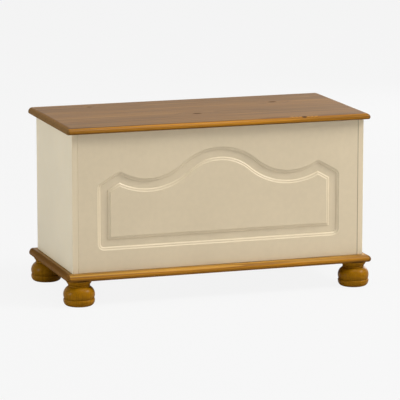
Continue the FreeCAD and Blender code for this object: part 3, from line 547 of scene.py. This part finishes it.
def board_rings(bm, low, high, across):
    """Rings of a board from its far face to its near face; across is the axis of its thickness."""
    along = Y if across == X else X
    rings = []
    for inset, place in soft_edge_profile(low[across], high[across]):
        ring = []
        for far_side, top in ((0, 0), (1, 0), (1, 1), (0, 1)):
            corner = [0, 0, high.z - inset if top else low.z + inset]
            corner[across] = place
            corner[along] = high[along] - inset if far_side else low[along] + inset
            ring.append(corner)
        rings.append(ring_of(bm, ring))
    return rings


def painted_panel(node, across, material, seats=()):
    """A flat painted panel with softened edges."""
    bm = bmesh.new()
    piece = new_object("painted_" + node, closed_solid(bm, board_rings(bm, *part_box(node), across)))
    if seats:
        drilled(piece, seats, **CAM_SEAT)
    stand_for(piece, node, "carcass", material)
    return piece


def cam_seats():
    """Seats for the cam discs, on the inner faces of the front panel and of the back panel."""
    front, back = [], []
    for low, high in loose_boxes("cam_discs"):
        middle = (low + high) / 2
        if middle.y < 0:
            front.append((Vector((middle.x, high.y, middle.z)), Vector((0, -1, 0))))
        else:
            back.append((Vector((middle.x, low.y, middle.z)), Vector((0, 1, 0))))
    return front, back


class Stretch:
    """A straight or round stretch of the groove's line, in the plane of the panel."""

    def __init__(self, first, last, middle=None):
        self.first, self.last, self.middle = first, last, middle
        self.reach = (last - first).length
        if middle:
            arm, last_arm = first - middle, last - middle
            self.radius = arm.length
            self.start = math.atan2(arm.y, arm.x)
            self.sweep = (math.atan2(last_arm.y, last_arm.x) - self.start + math.pi) % math.tau - math.pi
            self.reach = abs(self.sweep) * self.radius

    def point(self, share):
        """A point on the stretch and the normal on its right, which is the groove's outside."""
        if not self.middle:
            along = (self.last - self.first).normalized()
            return self.first.lerp(self.last, share), Vector((along.y, -along.x))
        turn = self.start + self.sweep * share
        arm = Vector((math.cos(turn), math.sin(turn)))
        return self.middle + arm * self.radius, arm * math.copysign(1, self.sweep)

    def distance(self, place):
        """How far a place lies from the stretch."""
        if not self.middle:
            run = self.last - self.first
            share = min(max((place - self.first).dot(run) / run.length_squared, 0), 1)
            return (place - self.first - run * share).length
        arm = place - self.middle
        turn = (math.atan2(arm.y, arm.x) - self.start) * math.copysign(1, self.sweep)
        if turn % math.tau <= abs(self.sweep):
            return abs(arm.length - self.radius)
        return min((place - self.first).length, (place - self.last).length)

    def offset(self, share, distance):
        point, normal = self.point(share)
        return point + normal * distance

    def trimmed(self, neighbour, distance, end):
        """The share where an inside offset leaves its neighbour's, counted from the start or the end."""
        near, far = 0.0, 0.5
        for _ in range(GROOVE_TRIM_STEPS):
            middle = (near + far) / 2
            place = self.offset(1 - middle if end else middle, distance)
            if neighbour.distance(place) < abs(distance) - TINY:
                near = middle
            else:
                far = middle
        return 1 - far if end else far


def groove_line(foot):
    """The stretches of the groove's line, anticlockwise as seen from the front."""
    bottom, shoulder, peak = foot + GROOVE_BOTTOM, foot + GROOVE_SHOULDER, foot + GROOVE_PEAK
    dip = Vector((GROOVE_DIP_X, peak - GROOVE_RISE + GROOVE_DIP_RADIUS))
    arch_radius = GROOVE_DIP_X ** 2 / (2 * GROOVE_RISE) + GROOVE_RISE / 2 - GROOVE_DIP_RADIUS
    arch = Vector((0, peak - arch_radius))
    join = arch.lerp(dip, arch_radius / (arch_radius + GROOVE_DIP_RADIUS))
    cusp_fall = math.sqrt(GROOVE_DIP_RADIUS ** 2 - (GROOVE_CUSP_X - GROOVE_DIP_X) ** 2)
    cusp = Vector((GROOVE_CUSP_X, dip.y - cusp_fall))
    corner, side = Vector((GROOVE_SIDE, bottom)), Vector((GROOVE_SIDE, shoulder))

    def left(point):
        return Vector((-point.x, point.y))

    return [
        Stretch(left(corner), corner),
        Stretch(corner, side),
        Stretch(side, cusp),
        Stretch(cusp, join, dip),
        Stretch(join, left(join), arch),
        Stretch(left(join), left(cusp), left(dip)),
        Stretch(left(cusp), left(side)),
        Stretch(left(side), left(corner)),
    ]


def offset_line(stretches, distance):
    """A line at a distance from the groove's line, inside it below zero, and where its stretches start."""
    points = []
    starts = []
    for number, stretch in enumerate(stretches):
        before, after = stretches[number - 1], stretches[(number + 1) % len(stretches)]
        first, last = 0, 1
        if distance < 0:
            first = stretch.trimmed(before, distance, end=False)
            last = stretch.trimmed(after, distance, end=True)
        starts.append(len(points))
        steps = max(2, round(stretch.reach / GROOVE_SAMPLE)) if stretch.middle else 1
        shares = [first + (last - first) * step / steps for step in range(steps + 1)]
        places = [stretch.offset(share, distance) for share in shares]
        if distance < 0 and points:
            places[0] = points[-1]
        points += places
        corner, normal = stretch.point(1)
        next_normal = after.point(0)[1]
        for step in range(1, CORNER_STEPS):
            fan = normal.slerp(next_normal, step / CORNER_STEPS)
            points.append(corner + fan * distance if distance > 0 else points[-1])
    if distance < 0:
        points[0] = points[-1]
    return points, starts


def groove_depth(distance):
    """Depth of the groove at a distance from its middle: a lip, a step and an ogee slope."""

    def share(start, end):
        return min(max((start - distance) / (start - end), 0), 1)

    def ogee(start, end):
        return share(start, end) ** 2 * (3 - 2 * share(start, end))

    return (GROOVE_LIP_DEPTH * ogee(GROOVE_HALF, GROOVE_LIP_END)
            + GROOVE_STEP_DEPTH * share(GROOVE_LIP_END, GROOVE_STEP_END)
            + GROOVE_SLOPE_DEPTH * ogee(GROOVE_STEP_END, GROOVE_FLOOR_HALF))


def rout(piece, foot):
    """Cut the groove into the front face of a panel."""
    bm = bmesh.new()
    bm.from_mesh(piece.data)
    face = max(bm.faces, key=lambda flat: -flat.normal.y * flat.calc_area())
    middle = face.calc_center_median()
    rim = sorted(face.verts, key=lambda corner: math.atan2(corner.co.z - middle.z, corner.co.x))
    bm.faces.remove(face)
    reach = GROOVE_HALF - GROOVE_FLOOR_HALF
    slope = [GROOVE_HALF - reach * step / GROOVE_RINGS for step in range(GROOVE_RINGS + 1)]
    outside = [GROOVE_HALF + FLAT_RIM] + slope + [GROOVE_FLOOR_HALF - FLAT_RIM]
    stretches = groove_line(foot)
    rings = []
    for distance in outside + [-distance for distance in reversed(outside)]:
        points, starts = offset_line(stretches, distance)
        depth = groove_depth(abs(distance))
        rings.append(ring_of(bm, [(point.x, middle.y + depth, point.y) for point in points]))
    bridge(bm, rings)

    # The flat faces inside the groove and outside it, below, to the right, above and to the left
    bottom_left, bottom_right, top_right, top_left = rim
    outer = rings[0]
    right_start, shoulder, left_start = starts[1], starts[2], starts[-1]
    flats = (
        rings[-1],
        [bottom_left, bottom_right] + outer[right_start::-1],
        [bottom_right, top_right] + outer[shoulder:right_start - 1:-1],
        [top_right, top_left] + outer[left_start:shoulder - 1:-1],
        [top_left, bottom_left, outer[0]] + outer[:left_start - 1:-1],
    )
    made = [add_face(bm, flat) for flat in flats]
    bm.normal_update()
    bmesh.ops.triangulate(bm, faces=made)
    store(bm, piece.data)


# Materials

def new_material(name):
    material = bpy.data.materials.new(name)
    material.use_nodes = True
    material.node_tree.nodes.clear()
    return material


def feed(tree, socket, value):
    """Give a socket a number, a colour or another node's output."""
    if isinstance(value, bpy.types.NodeSocket):
        tree.links.new(value, socket)
    else:
        socket.default_value = value


def add(tree, kind, inputs=None, **settings):
    """Add a node with its settings and inputs."""
    made = tree.nodes.new(kind)
    for name, value in settings.items():
        setattr(made, name, value)
    for name, value in (inputs or {}).items():
        feed(tree, made.inputs[name], value)
    return made


def maths(tree, operation, first, *others, clamp=False):
    """Apply an operation to a value and each of the others in turn, or to the value alone."""
    result = first
    for other in others or (0.0,):
        made = add(tree, "ShaderNodeMath", {0: result, 1: other}, operation=operation, use_clamp=clamp)
        result = made.outputs[0]
    return result


def length(tree, vector):
    return add(tree, "ShaderNodeVectorMath", {0: vector}, operation="LENGTH").outputs["Value"]


def scaled(tree, vector, factor):
    made = add(tree, "ShaderNodeVectorMath", {0: vector, "Scale": factor}, operation="SCALE")
    return made.outputs["Vector"]


def stretched(tree, vector, factors):
    """Multiply the parts of a vector by a factor each."""
    made = add(tree, "ShaderNodeVectorMath", {0: vector, 1: factors}, operation="MULTIPLY")
    return made.outputs["Vector"]


def blended(tree, share, first, second):
    """Mix two colours."""
    mix = add(tree, "ShaderNodeMix", {0: share, 6: first, 7: second}, data_type="RGBA")
    return mix.outputs[2]


def ranged(tree, value, start, end, low=0.0, high=1.0, smooth=True):
    """Map a value from one range to another, and hold it at both ends."""
    kind = "SMOOTHSTEP" if smooth else "LINEAR"
    made = add(tree, "ShaderNodeMapRange",
               {"Value": value, "From Min": start, "From Max": end, "To Min": low, "To Max": high},
               interpolation_type=kind)
    return made.outputs["Result"]


def noise(tree, vector, scale=1.0, detail=3.0, roughness=0.5):
    made = add(tree, "ShaderNodeTexNoise",
               {"Vector": vector, "Scale": scale, "Detail": detail, "Roughness": roughness})
    return made.outputs["Fac"]


def varied(tree, value, low, high):
    """Spread a noise between two values."""
    return ranged(tree, value, *NOISE_SPREAD, low, high)


def tinted(colour, factor):
    """A lighter or darker colour."""
    return [part * factor for part in colour[:3]] + [1]


def output(tree, shader):
    add(tree, "ShaderNodeOutputMaterial", {"Surface": shader.outputs[0]})


def surface(tree, colour, gloss, relief, strength, depth, specular=PLAIN_SHEEN, metallic=0.0):
    """The shader of a finish, with a fine relief of a strength and a depth."""
    bump = add(tree, "ShaderNodeBump", {"Strength": strength, "Distance": depth, "Height": relief})
    shader = add(tree, "ShaderNodeBsdfPrincipled",
                 {"Base Color": colour, "Roughness": gloss, "Normal": bump.outputs[0],
                  "Specular IOR Level": specular, "Metallic": metallic})
    output(tree, shader)


def growth_rings(tree, grain, place, knots):
    """How dark the wood is in its rings, which wander and bend round knots, and the cores of the knots."""
    wander = noise(tree, stretched(tree, grain, WANDER_SCALE), detail=2)
    ripple = noise(tree, stretched(tree, grain, RIPPLE_SCALE), detail=2)
    radius = maths(tree, "ADD", length(tree, stretched(tree, grain, (0, 1, 1))),
                   maths(tree, "MULTIPLY", wander, RING_WANDER),
                   maths(tree, "MULTIPLY", ripple, RING_RIPPLE))
    knot = 0.0
    for middle, knot_radius in knots:
        apart = add(tree, "ShaderNodeVectorMath", {0: place, 1: middle}, operation="SUBTRACT")
        away = length(tree, stretched(tree, apart.outputs["Vector"], KNOT_SQUEEZE))
        bend = ranged(tree, away, 0, knot_radius * KNOT_REACH, KNOT_BEND, 0)
        radius = maths(tree, "ADD", radius, bend)
        inner, outer = [knot_radius * share for share in KNOT_CORE]
        knot = maths(tree, "MAXIMUM", knot, ranged(tree, away, inner, outer, 1, 0))
    ring = maths(tree, "FRACT", maths(tree, "DIVIDE", radius, RING_WIDTH))
    dark = maths(tree, "MULTIPLY", ranged(tree, ring, *RING_DARKENS), ranged(tree, ring, *RING_ENDS, 1, 0))
    return dark, knot


def joint_lines(tree, place, boards):
    """Thin lines where the boards of a panel meet, open a little wider towards their ends."""
    along, across, _ = add(tree, "ShaderNodeSeparateXYZ", {"Vector": place}).outputs
    half_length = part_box(boards[0])[1].x
    joints = [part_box(board)[0].y for board in boards[1:]]
    apart = [maths(tree, "ABSOLUTE", maths(tree, "SUBTRACT", across, joint)) for joint in joints]
    away = maths(tree, "MINIMUM", *apart)
    width = ranged(tree, maths(tree, "ABSOLUTE", along), half_length - JOINT_OPENING, half_length,
                   JOINT_WIDTH, JOINT_END_WIDTH)
    return maths(tree, "SUBTRACT", 1.0, maths(tree, "DIVIDE", away, width), clamp=True)


def pine(name, early, late, end_wood, end_axis, end_from, top_painted_light, top_from, sheen,
         figure=1.0, painted_under_shade=0.55, knots=(), boards=()):
    """Stained, lacquered pine: growth rings round the heart, fibres along it, dull end grain and knots."""
    material = new_material(name)
    tree = material.node_tree
    grain = add(tree, "ShaderNodeAttribute", attribute_name="grain").outputs["Vector"]
    coordinates = add(tree, "ShaderNodeTexCoord").outputs
    place = coordinates["Object"]
    facing = add(tree, "ShaderNodeSeparateXYZ", {"Vector": coordinates["Normal"]}).outputs
    dark, knot = growth_rings(tree, grain, place, knots)
    fibres = noise(tree, stretched(tree, grain, FIBRE_SCALE), detail=4, roughness=0.65)
    streaks = noise(tree, stretched(tree, grain, STREAK_SCALE), detail=3, roughness=0.6)
    tone = noise(tree, stretched(tree, grain, TONE_SCALE), detail=2)
    pores = noise(tree, stretched(tree, grain, PORE_SCALE), detail=3)

    # Fibres, streaks and tone of the wood, and painted shade that darkens the faces turning downwards
    shade = maths(tree, "MULTIPLY", varied(tree, fibres, 0.86, 1.1),
                  varied(tree, streaks, 1 - 0.3 * figure, 1 + 0.25 * figure),
                  varied(tree, tone, 0.9, 1.08),
                  ranged(tree, facing["Z"], *PAINTED_UNDER_SHADE_TO, painted_under_shade, 1))
    coloured = scaled(tree, blended(tree, dark, early, late), shade)
    # Painted light on the flat top: painted shade with part of a painted sheen on the lid, a painted sheen
    # on the base
    flat = ranged(tree, facing["Z"], *top_from)
    coloured = blended(tree, flat, coloured, stretched(tree, coloured, top_painted_light))

    # End grain drinks the stain, so it is dark and dull
    towards_end = maths(tree, "ABSOLUTE", facing[end_axis])
    end = ranged(tree, towards_end, *end_from)
    end_shade = maths(tree, "MULTIPLY", varied(tree, pores, 0.75, 1.15),
                      ranged(tree, dark, 0, 1, 1.1, 0.75))
    coloured = blended(tree, end, coloured, scaled(tree, end_wood, end_shade))

    if knots:
        coloured = blended(tree, maths(tree, "MULTIPLY", knot, KNOT_STRENGTH), coloured, KNOT_WOOD)
    if boards:
        arris = maths(tree, "MULTIPLY", ranged(tree, towards_end, *ARRIS_FROM),
                      ranged(tree, towards_end, *ARRIS_TO, 1, 0))
        lines = maths(tree, "MAXIMUM", joint_lines(tree, place, boards),
                      maths(tree, "MULTIPLY", arris, ARRIS_STRENGTH))
        coloured = blended(tree, maths(tree, "MULTIPLY", lines, JOINT_STRENGTH), coloured, KNOT_WOOD)

    gloss = maths(tree, "ADD", varied(tree, fibres, 0.26, 0.36),
                  maths(tree, "MULTIPLY", end, END_DULL),
                  maths(tree, "MULTIPLY", flat, TOP_DULL),
                  ranged(tree, facing["Z"], *UNDER_DULL_TO, UNDER_DULL, 0),
                  maths(tree, "MULTIPLY", knot, KNOT_DULL))
    relief = maths(tree, "ADD", maths(tree, "MULTIPLY", fibres, 0.5), maths(tree, "MULTIPLY", dark, 0.5))
    surface(tree, coloured, gloss, relief, 0.15, 0.25 * MM, specular=sheen)
    return material


def joint_painted_shade_and_dust(tree, place, seam, face, foot):
    """Painted shade with dust in the joints of the painted panels, more to the right than to the left, and
    a painted contact shadow with dust along the base.
    """
    sideways, outward, upward = add(tree, "ShaderNodeSeparateXYZ", {"Vector": place}).outputs
    from_seam = maths(tree, "ABSOLUTE", maths(tree, "SUBTRACT", maths(tree, "ABSOLUTE", sideways), seam))
    skin_start, skin_end = [face - depth for depth in SEAM_PAINTED_SHADE_AND_DUST_DEPTH]
    in_seam = maths(tree, "MULTIPLY", ranged(tree, from_seam, *SEAM_PAINTED_SHADE_AND_DUST, 1, 0),
                    ranged(tree, sideways, -seam, seam, 0, SEAM_PAINTED_SHADE_AND_DUST_STRENGTH),
                    ranged(tree, maths(tree, "ABSOLUTE", outward), skin_start, skin_end))
    painted_shadow_start, painted_shadow_end = [foot + height for height in BASE_PAINTED_SHADOW_AND_DUST]
    on_base = ranged(tree, upward, painted_shadow_start, painted_shadow_end, BASE_PAINTED_SHADOW_AND_DUST_STRENGTH, 0)
    return maths(tree, "MAXIMUM", in_seam, on_base)


def paint(name, colour, seam, face, foot):
    """Low-sheen sprayed paint: cloudiness, a fine orange-peel texture, rubbed edges, painted shade in
    hollows, painted shade with dust in the joints, and a painted contact shadow with dust along the base.

    Seam is how far from the middle the sides meet the front and back, face is how far out those two are,
    and foot is the height of the base.
    """
    material = new_material(name)
    tree = material.node_tree
    place = add(tree, "ShaderNodeTexCoord").outputs["Object"]
    clouds = noise(tree, place, scale=5, detail=3)
    mottle = noise(tree, place, scale=70, detail=3)
    peel = noise(tree, place, scale=750, detail=2)
    edge = add(tree, "ShaderNodeNewGeometry").outputs["Pointiness"]
    rubbed = ranged(tree, edge, 0.51, 0.6, 0, 0.3)
    # Painted shade: darker paint where the surface is hollow
    crease_painted_shade = ranged(tree, edge, 0.4, 0.49, 0.25, 0)
    shade = maths(tree, "MULTIPLY", varied(tree, clouds, 0.975, 1.02), varied(tree, mottle, 0.985, 1.01))
    coloured = scaled(tree, colour[:3], shade)
    coloured = blended(tree, rubbed, coloured, tinted(colour, 1.2))
    coloured = blended(tree, crease_painted_shade, coloured, tinted(colour, 0.6))
    # Painted shade with dust in the joints, and a painted contact shadow with dust along the base
    coloured = blended(tree, joint_painted_shade_and_dust(tree, place, seam, face, foot), coloured, JOINT_PAINTED_SHADE_AND_DUST)
    gloss = varied(tree, mottle, 0.36, 0.44)
    surface(tree, coloured, gloss, peel, 0.06, 0.2 * MM, specular=PAINT_SHEEN)
    return material


def plated(name, colour, tarnish, roughness):
    """Plated steel: brushed streaks, cloudy tarnish and brighter rubbed edges."""
    material = new_material(name)
    tree = material.node_tree
    place = add(tree, "ShaderNodeTexCoord").outputs["Object"]
    clouds = noise(tree, place, scale=160, detail=4)
    brushed = noise(tree, stretched(tree, place, (300, 2600, 2600)), detail=3)
    edge = add(tree, "ShaderNodeNewGeometry").outputs["Pointiness"]
    coloured = blended(tree, ranged(tree, clouds, 0.35, 0.7, 0, 0.6), colour, tarnish)
    coloured = blended(tree, ranged(tree, edge, 0.52, 0.62, 0, 0.5), coloured, tinted(colour, 1.25))
    gloss = varied(tree, brushed, roughness - 0.08, roughness + 0.1)
    surface(tree, coloured, gloss, brushed, 0.12, 0.1 * MM, metallic=1.0)
    return material


def plain_beech(name):
    """Bare beech with short dark flecks along the grain."""
    material = new_material(name)
    tree = material.node_tree
    place = add(tree, "ShaderNodeTexCoord").outputs["Object"]
    flecks = noise(tree, stretched(tree, place, (60, 900, 900)), detail=4, roughness=0.6)
    coloured = blended(tree, ranged(tree, flecks, 0.35, 0.65), BEECH, BEECH_FLECK)
    gloss = varied(tree, flecks, 0.6, 0.75)
    surface(tree, coloured, gloss, flecks, 0.2, 0.2 * MM)
    return material


# The box

lid_boards = board_names("lid", LID_LOGS)
base_boards = board_names("base", BASE_LOGS)
lid_pine = pine("lid_pine", EARLY_WOOD, LATE_WOOD, LID_END_WOOD, X, BOARD_END_FROM, LID_TOP_PAINTED_SHADE_AND_SHEEN,
                LID_TOP_FROM, BOARD_SHEEN, knots=KNOTS, boards=lid_boards)
base_pine = pine("base_pine", EARLY_WOOD, LATE_WOOD, BASE_END_WOOD, X, BOARD_END_FROM, BASE_TOP_PAINTED_SHEEN,
                 BASE_TOP_FROM, BOARD_SHEEN, figure=0.55, boards=base_boards)
foot_pine = pine("foot_pine", FOOT_EARLY_WOOD, FOOT_LATE_WOOD, LID_END_WOOD, Z, FOOT_END_FROM,
                 FOOT_TOP_PAINTED_LIGHT, FOOT_TOP_FROM, FOOT_SHEEN, figure=0.4, painted_under_shade=0.8)
front_low, front_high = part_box("front_panel")
cream_paint = paint("cream_paint", CREAM_PAINT, front_high.x, abs(front_low.y), front_low.z)
finishes = {
    "zinc_steel": plated("zinc_steel", ZINC, ZINC_TARNISH, ZINC_ROUGHNESS),
    "brassed_steel": plated("brassed_steel", BRASS, BRASS_TARNISH, BRASS_ROUGHNESS),
    "beech": plain_beech("beech"),
}

pine_panel(lid_boards, "lid", LID_NOSE, LID_LOGS, lid_pine)
pine_panel(base_boards, "carcass", BASE_NOSE, BASE_LOGS, base_pine, screw_seats())
for foot_name, foot_log in zip(FOOT_NAMES, FOOT_LOGS):
    turned_foot(foot_name, foot_log, foot_pine)
front_cam_seats, back_cam_seats = cam_seats()
painted_panel("left_side_panel", X, cream_paint)
painted_panel("right_side_panel", X, cream_paint)
painted_panel("back_panel", Y, cream_paint, back_cam_seats)
front_piece = painted_panel("front_panel", Y, cream_paint, front_cam_seats)
rout(front_piece, front_low.z)

for subpart in frame["record"]["subparts"]:
    finish = finishes.get(subpart["material_slot"])
    if finish:
        dress(frame["nodes"][subpart["node"]], finish)


# Stage, light and camera

def pale_for_views(tree, lit, pale):
    """Show a pale colour to the camera and to reflections, and something else to plain light."""
    path = add(tree, "ShaderNodeLightPath").outputs
    seen = maths(tree, "MAXIMUM", path["Is Camera Ray"],
                 maths(tree, "MAXIMUM", path["Is Glossy Ray"], path["Is Transmission Ray"]))
    return add(tree, "ShaderNodeMixShader", {0: seen, 1: lit.outputs[0], 2: pale.outputs[0]})


def floor():
    """A pale floor that keeps some of the object's shadow."""
    bm = bmesh.new()
    corners = ((-1, -1), (1, -1), (1, 1), (-1, 1))
    bm.faces.new([bm.verts.new((x * FLOOR_HALF, y * FLOOR_HALF, 0)) for x, y in corners])
    sheet = new_object("floor", bm)
    material = new_material("pale_floor")
    tree = material.node_tree
    lit = add(tree, "ShaderNodeBsdfDiffuse", {"Color": FLOOR_BOUNCE})
    glow = add(tree, "ShaderNodeEmission", {"Color": PALE, "Strength": 1.0})
    matt = add(tree, "ShaderNodeBsdfDiffuse", {"Color": FLOOR_SHADOW})
    shown = add(tree, "ShaderNodeMixShader",
                {0: FLOOR_SHADOW_SHARE, 1: glow.outputs[0], 2: matt.outputs[0]})
    output(tree, pale_for_views(tree, lit, shown))
    dress(sheet, material)


def sky():
    world = bpy.data.worlds.new("studio")
    bpy.context.scene.world = world
    world.use_nodes = True
    tree = world.node_tree
    tree.nodes.clear()
    way = add(tree, "ShaderNodeTexCoord").outputs["Generated"]
    height = add(tree, "ShaderNodeSeparateXYZ", {"Vector": way}).outputs["Z"]
    strength = ranged(tree, height, 0, 1, 0, SKY_ZENITH, smooth=False)
    lit = add(tree, "ShaderNodeBackground", {"Color": WHITE, "Strength": strength})
    pale = add(tree, "ShaderNodeBackground", {"Color": PALE, "Strength": 1.0})
    add(tree, "ShaderNodeOutputWorld", {"Surface": pale_for_views(tree, lit, pale).outputs[0]})


def soft_light(name, place, size, watts, colour):
    lamp = bpy.data.lights.new(name, "AREA")
    lamp.shape = "DISK"
    lamp.size = size
    lamp.energy = watts
    lamp.color = colour
    holder = bpy.data.objects.new(name, lamp)
    bpy.context.scene.collection.objects.link(holder)
    holder.location = place
    holder.rotation_euler = (Vector(LAMP_AIM) - Vector(place)).to_track_quat("-Z", "Y").to_euler()


def camera():
    data = bpy.data.cameras.new("camera")
    data.lens = CAMERA_LENS
    data.sensor_width = CAMERA_SENSOR
    data.clip_end = CAMERA_CLIP_END
    holder = bpy.data.objects.new("camera", data)
    bpy.context.scene.collection.objects.link(holder)
    level = math.cos(CAMERA_ELEVATION)
    forward = Vector((math.sin(CAMERA_AZIMUTH) * level,
                      math.cos(CAMERA_AZIMUTH) * level,
                      -math.sin(CAMERA_ELEVATION)))
    holder.location = CAMERA_TARGET - forward * CAMERA_DISTANCE
    holder.rotation_euler = forward.to_track_quat("-Z", "Y").to_euler()
    bpy.context.scene.camera = holder


floor()
sky()
for lamp in LAMPS:
    soft_light(*lamp)
camera()
bpy.context.scene.view_settings.view_transform = "Standard"
